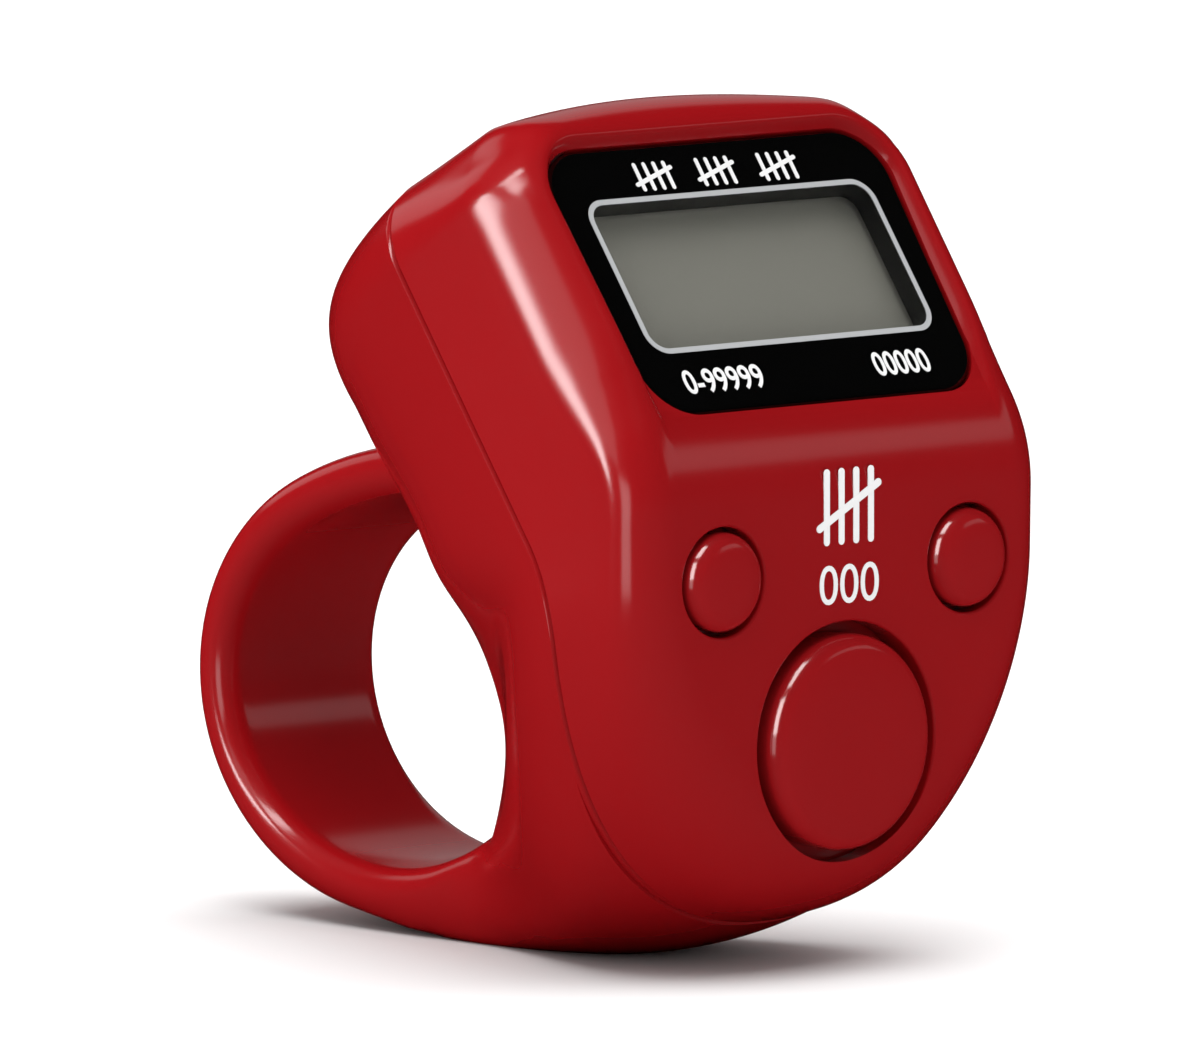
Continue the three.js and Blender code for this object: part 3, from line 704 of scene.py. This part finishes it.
def rear_body(outline, steps, inset, ahead):
    """Rear shell's outer body, which also runs ahead of the parting by some millimetres."""
    up = outline["up"]
    x, moved_up = moved_in(outline, inset)
    start = case_point(x, moved_up, case_depth(moved_up))
    end = rear_edge(outline["share"])
    end[[0, -1], 0] = 0
    under = smooth(-up, 13, 24.65)
    steep = TILT * smooth(up, -9, 5) + 0.44 * under + 0.55 * np.sin(np.pi * under)
    narrow = 0.15 * np.abs(outline["out_x"]) * (1 - np.maximum(outline["out_up"], 0))
    back = np.stack([-narrow * np.sign(outline["x"]), np.cos(steep), -np.sin(steep)], axis=-1)
    reach = np.linalg.norm(end - start, axis=1)[:, None]
    round_top = smooth(up, -6, 14)[:, None]
    over = np.stack(
        [-outline["out_x"], -SIN_TILT * outline["out_up"], -COS_TILT * outline["out_up"]], axis=-1
    )
    arrive = (end - start) / reach
    arrive = mix(arrive, over, round_top)
    arrive = mix(arrive, np.array([0, 1, 0]), smooth(-up, 16, 24)[:, None])
    arrive = arrive / np.linalg.norm(arrive, axis=1)[:, None]
    leave = start + back * reach * mix(0.4, 0.85, round_top)
    near = end - arrive * mix(reach * 0.35, 1.7, round_top)
    rings = []
    if ahead:
        for share in (1, 0.5):
            rings.append(mirrored(case_point(x, moved_up, case_depth(moved_up) - ahead * share)))
    for i in range(steps + 1):
        t = i / steps
        point = start * (1 - t) ** 3 + 3 * leave * t * (1 - t) ** 2
        point = point + 3 * near * t**2 * (1 - t) + end * t**3
        rings.append(mirrored(point))
    return loft(rings)


def ring_line(steps, top_steps):
    start = math.radians(-135)
    stop = math.radians(60)
    turn = mix(start, stop, np.arange(steps + 1) / steps)
    y = RING_Y + RING_HALF_Y * np.cos(turn)
    z = RING_Z + RING_HALF_Z * np.sin(turn)
    slope = RING_HALF_Z * math.cos(stop) / (RING_HALF_Y * math.sin(stop))
    bend_y = y[-1] - (RING_TOP_Z - z[-1]) / slope
    t = np.arange(1, top_steps + 1) / top_steps
    top_y = y[-1] * (1 - t) ** 2 + 2 * bend_y * t * (1 - t) + RING_TOP_Y * t**2
    top_z = z[-1] * (1 - t) ** 2 + 2 * RING_TOP_Z * t * (1 - t) + RING_TOP_Z * t**2
    return np.concatenate([y, top_y]), np.concatenate([z, top_z])


def ring_band(steps, top_steps, lip_steps, flat_steps=10):
    """The finger ring: a band with full round lips that thickens where it runs under the case."""
    y, z = ring_line(steps, top_steps)
    along = np.stack([np.gradient(y), np.gradient(z)], axis=-1)
    along = along / np.linalg.norm(along, axis=1)[:, None]
    rings = []
    for i in range(len(y)):
        out = np.array([0, along[i, 1], -along[i, 0]])
        under = max(SOLE_Y - y[i], 0) if z[i] < RING_Z else 0
        thick_out = BAND_HALF_THICK + 0.034 * under**2
        centre = np.array([0, y[i], z[i]])
        half = []
        for j in range(lip_steps + 1):
            lip = math.pi * j / lip_steps
            x = BAND_HALF_WIDTH - BAND_HALF_THICK + BAND_HALF_THICK * math.sin(lip)
            thick = (thick_out if lip < math.pi / 2 else BAND_HALF_THICK) * math.cos(lip)
            half.append(centre + out * thick + np.array([x, 0, 0]))
        outward = [k / flat_steps for k in range(flat_steps)]
        inward = [1 - k / flat_steps for k in range(1, flat_steps + 1)]
        across = [half[0] * np.array([share, 1, 1]) for share in outward]
        back_across = [half[-1] * np.array([share, 1, 1]) for share in inward]
        rings.append(mirrored(np.array(across + half + back_across)))
    return loft(rings)


def nearest(shape, points):
    """Nearest points of a shape's surface and how far they are."""
    tree = BVHTree.FromPolygons([Vector(p) for p in shape[0]], shape[1])
    found = [tree.find_nearest(Vector(p)) for p in points]
    return np.array([f[0] for f in found]), np.array([f[3] for f in found])


def relaxed(points, edges, rounds, share=0.5):
    """Points eased towards their neighbours' middle."""
    points = points.copy()
    count = np.bincount(edges.ravel(), minlength=len(points))[:, None]
    for _ in range(rounds):
        total = np.stack(
            [
                np.bincount(edges[:, 0], points[edges[:, 1], k], len(points))
                + np.bincount(edges[:, 1], points[edges[:, 0], k], len(points))
                for k in range(3)
            ],
            axis=-1,
        )
        points += share * (total / np.maximum(count, 1) - points)
    return points


def rear_shell():
    """Case body and ring as one moulding: both are joined in fine even faces, eased where they
    meet so that the ring flows out of the case, and drawn back to their true surfaces elsewhere.
    Then the parting rim, the room inside and the screw bores are cut."""
    body = rear_body(FINE, 90, 0, 1.5)
    band = ring_band(220, 60, 24)
    shell = made("rear_case_shell", body)
    joined(shell, "UNION", [made("band", band)])
    remesh = shell.modifiers.new("even", "REMESH")
    remesh.mode = "VOXEL"
    remesh.voxel_size = EVEN_SIZE
    applied(shell)
    mesh = shell.data
    points = np.zeros(len(mesh.vertices) * 3)
    mesh.vertices.foreach_get("co", points)
    points = points.reshape(-1, 3)
    edges = np.zeros(len(mesh.edges) * 2, int)
    mesh.edges.foreach_get("vertices", edges)
    edges = edges.reshape(-1, 2)
    eased = relaxed(points, edges, EASE_ROUNDS)
    on_body, from_body = nearest(body, eased)
    on_band, from_band = nearest(band, eased)
    true = np.where((from_body < from_band)[:, None], on_body, on_band)
    apart = smooth(np.maximum(from_body, from_band), BLEND_NEAR, BLEND_FAR)[:, None]
    rear = rear_edge(np.linspace(0, 1, 400))
    rim = np.concatenate([rear, rear * np.array([-1, 1, 1])])
    from_rim = np.array([np.min(np.sum((rim - p) ** 2, axis=1)) for p in eased]) ** 0.5
    held = np.minimum(apart, smooth(from_rim, BLEND_NEAR, RIM_FAR)[:, None])
    final = relaxed(mix(eased, true, held), edges, 2)
    mesh.vertices.foreach_set("co", final.ravel())
    mesh.update()
    tools = [made("front_cut", front_cut()), rear_room()]
    for side in (-1, 1):
        shank = SCREW_RADIUS + GAP
        head = SCREW_HEAD_RADIUS + GAP
        bore = [(0, SCREW_START), (shank, SCREW_START), (shank, SCREW_HEAD_DEEP)]
        bore += [(head, SCREW_HEAD_DEEP), (head, SCREW_END), (0, SCREW_END)]
        tools.append(made("bore", lathe(bore, 48, (side * SCREW_X, SCREW_UP), ON_UPPER)))
    joined(shell, "DIFFERENCE", tools)
    work = bmesh.new()
    work.from_mesh(shell.data)
    everything = work.verts[:] + work.edges[:] + work.faces[:]
    cut = bmesh.ops.bisect_plane(
        work, geom=everything, plane_co=(0, 0, FLOOR_Z), plane_no=(0, 0, -1), clear_outer=True
    )
    rim_edges = [g for g in cut["geom_cut"] if isinstance(g, bmesh.types.BMEdge)]
    bmesh.ops.holes_fill(work, edges=rim_edges)
    work.to_mesh(shell.data)
    work.free()
    return finished(shell, "housing", RED, ["rear_case"])


def front_cut():
    """Everything in front of the parting, with a quarter round that rounds the rim's edge."""
    outline = FINE

    def ring(inset, behind):
        x, up = moved_in(outline, inset)
        return mirrored(case_point(x, up, case_depth(up) + behind))

    rings = [ring(-3, -4), ring(-3, RIM_ROUND), ring(-0.2, RIM_ROUND)]
    steps = 7
    for i in range(steps + 1):
        turn = math.pi / 2 * i / steps
        rings.append(
            ring(
                RIM_ROUND - (RIM_ROUND + 0.02) * math.cos(turn),
                RIM_ROUND * (1 - math.sin(turn)),
            )
        )
    return loft(rings)


def rear_room():
    """Room inside the rear shell."""
    room = made("room", rear_body(half_outline(6, 8, 8, 16), 6, WALL, 0.8))
    far = 40
    back = prism(box_outline(far, -far, far), -far, BACK_DEEP - BACK_WALL, ON_UPPER)
    floor = prism(box_outline(far, ROOM_FLOOR_Z, far), -far, far, ON_LOWER)
    side = [(-far, -far), (SEAT_WALL_Y, -far), (SEAT_WALL_Y, SEAT_WALL_TOP), (far, SEAT_WALL_TOP)]
    side += [(far, far), (-far, far)]
    across = np.array([[0, 1, 0], [0, 0, 1], [1, 0, 0]])
    seat = prism(side, -far, far, across)
    return joined(room, "INTERSECT", [made("back", back), made("floor", floor), made("seat", seat)])


# Window, display and prints


def lens():
    outline = window_outline(-LENS_GAP)
    inner = window_outline(-LENS_GAP - LENS_BEVEL)
    count = len(outline)
    levels = [(inner, 0), (outline, LENS_BEVEL), (outline, WINDOW_THICK)]
    points = [(x, up, deep) for ring, deep in levels for x, up in ring]
    faces = [tuple(range(count)), tuple(reversed(range(2 * count, 3 * count)))]
    for level in range(2):
        for i in range(count):
            j = (i + 1) % count
            a = level * count
            faces.append((a + i, a + j, a + j + count, a + i + count))
    plate = made("window_lens", (np.array(points, float) @ ON_UPPER, faces))
    line = FRAME_LINE
    opening = round_box(FRAME_HALF - line, FRAME_LOW + line, FRAME_HIGH - line, FRAME_CORNER - line)
    joined(plate, "DIFFERENCE", [made("opening", prism(opening, -1, 2, ON_UPPER))])
    finished(plate, "housing", LENS_BLACK, ["display_window"])
    line += PANE_GAP
    inside = round_box(FRAME_HALF - line, FRAME_LOW + line, FRAME_HIGH - line, FRAME_CORNER - line)
    pane = made("window_pane", prism(inside, PANE_GAP, WINDOW_THICK - PANE_GAP, ON_UPPER))
    finished(pane, "housing", CLEAR)
    frame_line = made("window_frame_line", prism(
        round_box(FRAME_HALF, FRAME_LOW, FRAME_HIGH, FRAME_CORNER), -LINE_PROUD, LINE_SUNK, ON_UPPER
    ))
    joined(frame_line, "DIFFERENCE", [made("inside", prism(opening, -1, 2, ON_UPPER))])
    finished(frame_line, "housing", SILVER_INK)


def printed(name, text, size, centre, basis, squeeze=1.0, bold=0.0):
    """Ink: generic figures as a thin raised print."""
    curve = bpy.data.curves.new(name, "FONT")
    curve.body = text
    curve.size = 1
    curve.offset = bold
    curve.resolution_u = 6
    source = bpy.data.objects.new(name, curve)
    bpy.context.scene.collection.objects.link(source)
    bpy.context.view_layer.update()
    ready = source.evaluated_get(bpy.context.evaluated_depsgraph_get())
    flat = bpy.data.meshes.new_from_object(ready)
    bpy.data.objects.remove(source)
    co = np.array([v.co for v in flat.vertices], float)
    low, high = co.min(0), co.max(0)
    co = (co - (low + high) / 2) * size / (high[1] - low[1])
    co[:, 0] *= squeeze
    faces = [tuple(p.vertices) for p in flat.polygons]
    return inked(name, co[:, :2] + np.array(centre), faces, basis)


def inked(name, flat, faces, basis, lift=0):
    """A flat shape on a facet, thickened into a closed print that stands a little proud."""
    mesh = bpy.data.meshes.new(name)
    mesh.from_pydata([(x, y, INK_SUNK) for x, y in flat], [], faces)
    work = bmesh.new()
    work.from_mesh(mesh)
    bmesh.ops.remove_doubles(work, verts=work.verts, dist=1e-4)
    bmesh.ops.recalc_face_normals(work, faces=work.faces)
    raised = bmesh.ops.extrude_face_region(work, geom=work.faces[:])
    moved = [g for g in raised["geom"] if isinstance(g, bmesh.types.BMVert)]
    bmesh.ops.translate(work, verts=moved, vec=(0, 0, -INK_THICK - lift))
    bmesh.ops.recalc_face_normals(work, faces=work.faces)
    work.to_mesh(mesh)
    work.free()
    mesh.transform(Matrix([[*row, 0] for row in basis.T] + [[0, 0, 0, 1]]))
    piece = bpy.data.objects.new(name, mesh)
    bpy.context.scene.collection.objects.link(piece)
    work = bmesh.new()
    work.from_mesh(mesh)
    bmesh.ops.recalc_face_normals(work, faces=work.faces)
    work.to_mesh(mesh)
    work.free()
    return finished(piece, "housing", WHITE_INK)


def stroke(name, line, width, basis, lift=0):
    """An even stroke with round ends along a line of points."""
    line = np.array(line, float)
    along = np.gradient(line, axis=0)
    along = along / np.linalg.norm(along, axis=1)[:, None]
    side = np.stack([-along[:, 1], along[:, 0]], axis=-1) * width / 2
    left = list(line + side)
    right = list(line - side)
    cap_steps = 8
    caps = []
    for tip, out in ((line[-1], along[-1]), (line[0], -along[0])):
        start = math.atan2(out[1], out[0]) + math.pi / 2
        turns = [start - math.pi * k / cap_steps for k in range(1, cap_steps)]
        caps.append([tip + width / 2 * np.array([math.cos(t), math.sin(t)]) for t in turns])
    outline = left + caps[0] + right[::-1] + caps[1]
    count = len(left)
    cap = cap_steps - 1
    total = len(outline)
    faces = []
    for i in range(count - 1):
        faces.append((i, i + 1, total - cap - 2 - i, total - cap - 1 - i))
    faces.append(tuple(range(count - 1, count + cap + 1)))
    faces.append(tuple([0] + [total - k for k in range(1, cap + 2)]))
    return inked(name, np.array(outline), faces, basis, lift)


def tally(name, centre, half_wide, high, width, basis):
    """A tally of five: four upright strokes and one across them."""
    steps = 12
    strokes = []
    for k in range(4):
        x = centre[0] + half_wide * (k - 1.5) / 2
        strokes.append(((x, centre[1] - high / 2), (x, centre[1] + high / 2)))
    rise = high * 0.3
    strokes.append((
        (centre[0] - half_wide, centre[1] - rise),
        (centre[0] + half_wide, centre[1] + rise),
    ))
    for k, (start, end) in enumerate(strokes):
        share = np.linspace(0, 1, steps)[:, None]
        line = mix(np.array(start), np.array(end), share)
        lift = CROSS_LIFT if k == 4 else 0
        stroke(f"{name}_{k + 1}", line, width, basis, lift=lift)


def prints():
    """Generic figures where such counters carry words: tallies, the range and plain numbers."""
    for k in range(3):
        tally(f"print_tally_{k + 1}", ((k - 1) * 4.3, 16.47), 1.35, 1.45, 0.24, ON_UPPER)
    printed("print_range", "0-99999", 1.4, (-6.09, 4.5), ON_UPPER, 0.86, 0.012)
    printed("print_zeros", "00000", 1.4, (6.31, 4.53), ON_UPPER, 0.8, 0.012)
    tally("print_mark", (0.12, -3.0), 2.05, 3.5, 0.4, ON_LOWER)
    printed("print_start", "000", 2.0, (0.15, -6.95), ON_LOWER)


# Buttons


def button(name, sizes, node):
    x, z, radius, well, proud = sizes
    edge = min(CAP_EDGE, radius * CAP_EDGE_SHARE)
    crown = CROWN_SHARE * proud
    flat = radius - edge
    profile = [(0, -proud)]
    face_steps = 14
    for i in range(1, face_steps + 1):
        share = i / face_steps
        profile.append((flat * share, -proud + crown * share**4))
    start = math.atan(4 * crown / flat)
    rounding = edge / (1 - math.sin(start))
    round_steps = 12
    for i in range(1, round_steps + 1):
        turn = mix(start, math.pi / 2, i / round_steps)
        profile.append((
            flat + rounding * (math.sin(turn) - math.sin(start)),
            -proud + crown + rounding * (math.cos(start) - math.cos(turn)),
        ))
    flange = well + FLANGE_WIDE
    level = WALL + GAP
    stem = radius * STEM_SHARE
    profile += [(radius, level), (flange, level), (flange, level + FLANGE_THICK)]
    profile += [(stem, level + FLANGE_THICK), (stem, STEM_REACH), (0, STEM_REACH)]
    cap = made(name, lathe(profile, 128, (x, z), ON_LOWER))
    return finished(cap, node, RED_CAP, [node])


# Stage


def area_light(
    name, azimuth, height, far, size, power, glossy=True, diffuse=True, only=(), without=()
):
    """A soft box aimed at the part. It may light only some of the pieces, or all without some."""
    data = bpy.data.lights.new(name, "AREA")
    data.shape = "RECTANGLE"
    data.size, data.size_y = size
    data.energy = power
    lamp = bpy.data.objects.new(name, data)
    place = Vector(around(azimuth, height, far))
    lamp.location = place
    lamp.rotation_euler = (Vector(LIGHT_TARGET) - place).to_track_quat("-Z", "Y").to_euler()
    lamp.visible_glossy = glossy
    lamp.visible_diffuse = diffuse
    bpy.context.scene.collection.objects.link(lamp)
    if only or without:
        lit = bpy.data.collections.new(name)
        for piece in (*only, *without):
            lit.objects.link(piece)
        for entry in lit.collection_objects:
            entry.light_linking.link_state = "EXCLUDE" if without else "INCLUDE"
        lamp.light_linking.receiver_collection = lit


def floor_and_sky():
    half = FLOOR_HALF
    corners = np.array(
        [(-half, -half, 0), (half, -half, 0), (half, half, 0), (-half, half, 0)], float
    )
    floor = made("floor", (corners, [(0, 1, 2, 3)]))
    material, tree, shader = principled("pale_floor")
    shader.inputs["Base Color"].default_value = (FLOOR_ALBEDO, FLOOR_ALBEDO, FLOOR_ALBEDO, 1)
    shader.inputs["Roughness"].default_value = 0.9
    shader.inputs["Specular IOR Level"].default_value = 0.1
    floor.data.materials.append(material)
    floor.visible_glossy = False
    world = bpy.data.worlds.new("studio")
    world.use_nodes = True
    sky = world.node_tree.nodes["Background"]
    sky.inputs["Color"].default_value = (1, 1, 1, 1)
    sky.inputs["Strength"].default_value = SKY_STRENGTH
    bpy.context.scene.world = world
    world.cycles_visibility.glossy = False
    return floor


def around(azimuth, height, far):
    """A place round the part: azimuth 0 is in front of it and 90 to the right."""
    a, h = math.radians(azimuth), math.radians(height)
    return (
        far * math.sin(a) * math.cos(h),
        -far * math.cos(a) * math.cos(h),
        LIGHT_TARGET[2] + far * math.sin(h),
    )


def camera():
    right = Vector((math.cos(VIEW_HEADING), -math.sin(VIEW_HEADING), 0))
    back = Vector((
        -math.sin(VIEW_HEADING) * math.cos(VIEW_HEIGHT),
        -math.cos(VIEW_HEADING) * math.cos(VIEW_HEIGHT),
        math.sin(VIEW_HEIGHT),
    ))
    up = back.cross(right)
    off_x = (IMAGE_SIZE[0] / 2 - ORIGIN_PIXEL[0]) / PIXELS_PER_MM
    off_up = (ORIGIN_PIXEL[1] - IMAGE_SIZE[1] / 2) / PIXELS_PER_MM
    place = ROW @ (right * off_x + up * off_up + back * CAMERA_FAR)
    data = bpy.data.cameras.new("view")
    data.sensor_width = SENSOR
    data.lens = SENSOR * PIXELS_PER_MM * CAMERA_FAR / IMAGE_SIZE[0]
    data.clip_start = 0.1
    data.clip_end = 100
    eye = bpy.data.objects.new("view", data)
    turn = Matrix((right, up, back)).transposed().to_4x4()
    eye.matrix_world = Matrix.Translation(place) @ turn
    bpy.context.scene.collection.objects.link(eye)
    bpy.context.scene.camera = eye


camera()
front_shell()
rear_shell()
lens()
caps = [
    button("count_cap", COUNT_BUTTON, "count_button"),
    button("mode_cap", MODE_BUTTON, "mode_button"),
    button("reset_cap", RESET_BUTTON, "reset_button"),
]
prints()

INNER = {
    "lcd_glass": DISPLAY,
    "lcd_reflector": WHITE_PLASTIC,
    "display_frame": WHITE_PLASTIC,
    "zebra_strip": RUBBER,
    "keypad_membrane": RUBBER,
    "display_board": BOARD,
    "key_board": BOARD,
    "counter_chip": EPOXY,
    "capacitor": EPOXY,
    "crystal_can": STEEL,
    "flex_ribbon": RIBBON,
    "battery_cell": STEEL,
    "contact_minus": STEEL,
    "contact_plus": STEEL,
    "case_screw_left": STEEL,
    "case_screw_right": STEEL,
}
for node, material in INNER.items():
    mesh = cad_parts[node].data
    mesh.materials.clear()
    mesh.materials.append(material)

# The fills light only diffusely and the others only in the gloss, so that each is set alone
floor = floor_and_sky()
area_light("left_fill", -100, 36, FILL_FAR, (2.0, 2.0), 32, glossy=False, without=[floor])
area_light("top_fill", -55, 78, FILL_FAR, (2.4, 2.4), 32, glossy=False, without=[floor])
area_light("back_fill", -160, 52, FILL_FAR, (1.2, 1.2), 18, glossy=False, without=[floor])
area_light("floor_wash", 0, 84, FILL_FAR, (3.0, 3.0), 94, glossy=False, only=[floor])
area_light("edge_strip", -112, 14, STRIP_FAR, (0.12, 0.34), 2.2, diffuse=False)
area_light("bead_strip", -103, 50, STRIP_FAR, (0.14, 0.4), 2.0, diffuse=False)
area_light("left_glow", -93, 26, STRIP_FAR, (0.25, 0.3), 0.25, diffuse=False)
area_light("rear_box", -176, 26, STRIP_FAR, (0.35, 0.35), 0.28, diffuse=False)
area_light("back_glow", 133, 22, STRIP_FAR, (0.5, 0.4), 0.2, diffuse=False)
area_light("front_glow", 45, 22, STRIP_FAR, (0.4, 0.16), 0.14, diffuse=False)
area_light("cap_glint_left", -72, 24, GLINT_FAR, (0.2, 0.3), 2.8, diffuse=False, only=caps)
area_light("cap_glint_top", -72, 66, GLINT_FAR, (0.26, 0.26), 3.0, diffuse=False, only=caps)
area_light("low_glow", -75, 0, STRIP_FAR, (0.3, 0.3), 0.8, diffuse=False)
bpy.context.scene.view_settings.view_transform = "Standard"
